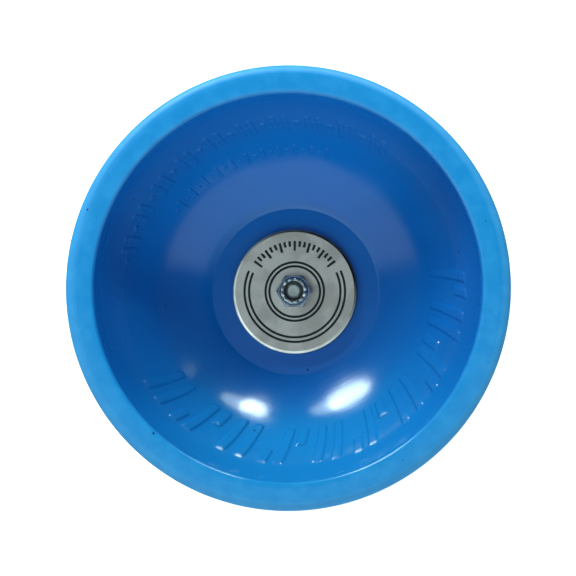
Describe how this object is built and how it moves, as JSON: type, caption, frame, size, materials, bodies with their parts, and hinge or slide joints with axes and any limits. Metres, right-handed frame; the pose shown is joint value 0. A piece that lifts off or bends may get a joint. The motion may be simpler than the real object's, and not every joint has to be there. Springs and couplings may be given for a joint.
{
  "type": "diabolo",
  "caption": "Diabolo: plastic cups clamped back to back on a steel rod, with a free-turning ball-bearing roller between them for the string.",
  "frame": {"origin": "centre of the circle on which the lower cup's rim stands", "axes": "+Z along the spin axis, from the lower cup to the upper cup; X and Y are alike, with the nuts' flats facing +Y and -Y"},
  "size_m": [0.13, 0.13, 0.132],
  "materials": {
    "cup_plastic": "glossy moulded plastic, sky blue at the rim and deeper blue in the bowl",
    "disc_steel": "satin steel with engraved and blackened rings",
    "zinc_plate": "bright zinc plate",
    "nylon": "dark moulded nylon",
    "aluminium": "turned, fine concentric lines",
    "bearing_steel": "ground bearing steel",
    "ball_steel": "polished",
    "rod_steel": "rolled thread on drawn steel rod"
  },
  "bodies": {
    "cups_and_rod": {"axle_rod": "rod_steel", "spacer_tube": "zinc_plate", "cup_upper": "cup_plastic", "weight_disc_upper": "disc_steel", "lock_nut_upper": "zinc_plate", "nylon_insert_upper": "nylon", "hub_cone_upper": "aluminium", "shim_upper": "zinc_plate", "bearing_inner_ring_upper": "bearing_steel", "cup_lower": "cup_plastic", "weight_disc_lower": "disc_steel", "lock_nut_lower": "zinc_plate", "nylon_insert_lower": "nylon", "hub_cone_lower": "aluminium", "shim_lower": "zinc_plate", "bearing_inner_ring_lower": "bearing_steel"},
    "roller": {"roller": "aluminium", "bearing_outer_ring_upper": "bearing_steel", "bearing_shield_upper_inboard": "bearing_steel", "bearing_shield_upper_outboard": "bearing_steel", "bearing_outer_ring_lower": "bearing_steel", "bearing_shield_lower_inboard": "bearing_steel", "bearing_shield_lower_outboard": "bearing_steel"},
    "cage_upper": {"bearing_cage_upper": "bearing_steel", "bearing_ball_upper_1": "ball_steel", "bearing_ball_upper_2": "ball_steel", "bearing_ball_upper_3": "ball_steel", "bearing_ball_upper_4": "ball_steel", "bearing_ball_upper_5": "ball_steel", "bearing_ball_upper_6": "ball_steel", "bearing_ball_upper_7": "ball_steel"},
    "cage_lower": {"bearing_cage_lower": "bearing_steel", "bearing_ball_lower_1": "ball_steel", "bearing_ball_lower_2": "ball_steel", "bearing_ball_lower_3": "ball_steel", "bearing_ball_lower_4": "ball_steel", "bearing_ball_lower_5": "ball_steel", "bearing_ball_lower_6": "ball_steel", "bearing_ball_lower_7": "ball_steel"}
  },
  "joints": [
    {"name": "roller_spin", "type": "hinge", "parent": "cups_and_rod", "child": "roller", "pos_m": [0, 0, 0.066], "axis": [0, 0, 1], "continuous": true},
    {"name": "cage_upper_spin", "type": "hinge", "parent": "cups_and_rod", "child": "cage_upper", "pos_m": [0, 0, 0.075], "axis": [0, 0, 1], "continuous": true},
    {"name": "cage_lower_spin", "type": "hinge", "parent": "cups_and_rod", "child": "cage_lower", "pos_m": [0, 0, 0.057], "axis": [0, 0, 1], "continuous": true}
  ],
  "couplings": [
    {"joint": "cage_upper_spin", "follows": "roller_spin", "ratio": 0.6321},
    {"joint": "cage_lower_spin", "follows": "roller_spin", "ratio": 0.6321}
  ]
}
